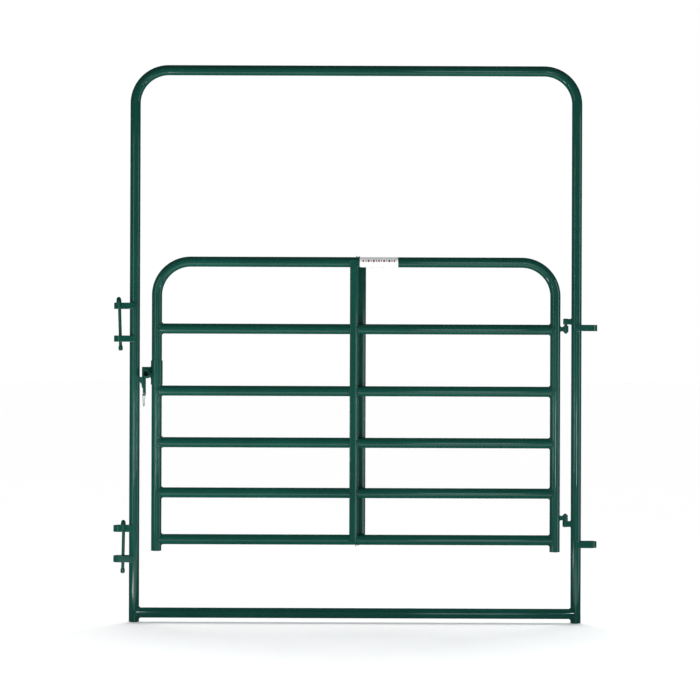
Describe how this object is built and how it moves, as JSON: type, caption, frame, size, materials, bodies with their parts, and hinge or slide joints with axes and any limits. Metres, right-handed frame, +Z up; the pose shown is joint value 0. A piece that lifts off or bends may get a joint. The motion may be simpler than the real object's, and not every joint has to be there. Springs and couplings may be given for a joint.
{
  "type": "livestock panel gate",
  "caption": "Arched tube frame with a railed swing leaf on pintle hinges, a gravity slide latch and drop-pin panel connectors.",
  "frame": {"origin": "on the ground, midway between the two posts, on the frame's centre plane", "axes": "+X along the fence from the latch post to the hinge post, +Y through the gate away from the side the lifting grip is on, +Z up"},
  "size_m": [1.9558, 0.074, 2.253],
  "materials": {
    "green_enamel": "glossy dark green enamel over steel tube and bar",
    "zinc": "bright zinc-plated spring wire",
    "label_film": "white printed film"
  },
  "bodies": {
    "frame": {"frame_bow": "green_enamel", "frame_sill": "green_enamel", "latch_post_loop_1": "green_enamel", "latch_post_loop_2": "green_enamel", "latch_post_loop_3": "green_enamel", "latch_post_loop_4": "green_enamel", "hinge_post_loop_1": "green_enamel", "hinge_post_loop_2": "green_enamel", "upper_hinge_lug": "green_enamel", "upper_hinge_pin": "green_enamel", "lower_hinge_lug": "green_enamel", "lower_hinge_pin": "green_enamel", "keeper_front_cheek": "green_enamel", "keeper_rear_cheek": "green_enamel"},
    "leaf": {"leaf_bow": "green_enamel", "leaf_rail_1": "green_enamel", "leaf_rail_2": "green_enamel", "leaf_rail_3": "green_enamel", "leaf_rail_4": "green_enamel", "leaf_rail_5": "green_enamel", "centre_brace": "green_enamel", "upper_hinge_eye": "green_enamel", "lower_hinge_eye": "green_enamel", "label": "label_film"},
    "latch": {"latch_sleeve": "green_enamel", "latch_plate": "green_enamel", "latch_tongue": "green_enamel", "latch_grip": "green_enamel"},
    "clip": {"hitch_clip": "zinc"},
    "upper_pin": {"upper_drop_pin": "green_enamel"},
    "lower_pin": {"lower_drop_pin": "green_enamel"}
  },
  "joints": [
    {"name": "leaf_swing", "type": "hinge", "parent": "frame", "child": "leaf", "pos_m": [0.85105, 0, 0], "axis": [0, 0, 1], "range_deg": [-110, 110]},
    {"name": "latch_lift", "type": "slide", "parent": "leaf", "child": "latch", "axis": [0, 0, 1], "range_m": [0, 0.1]},
    {"name": "clip_swing", "type": "hinge", "parent": "latch", "child": "clip", "pos_m": [-0.85485, 0, 0.92505], "axis": [0, 1, 0], "range_deg": [-30, 12]},
    {"name": "upper_pin_lift", "type": "slide", "parent": "frame", "child": "upper_pin", "axis": [-0.0297, 0, 0.9996], "range_m": [0, 0.115]},
    {"name": "lower_pin_lift", "type": "slide", "parent": "frame", "child": "lower_pin", "axis": [0.0192, 0, 0.9998], "range_m": [0, 0.115]}
  ]
}
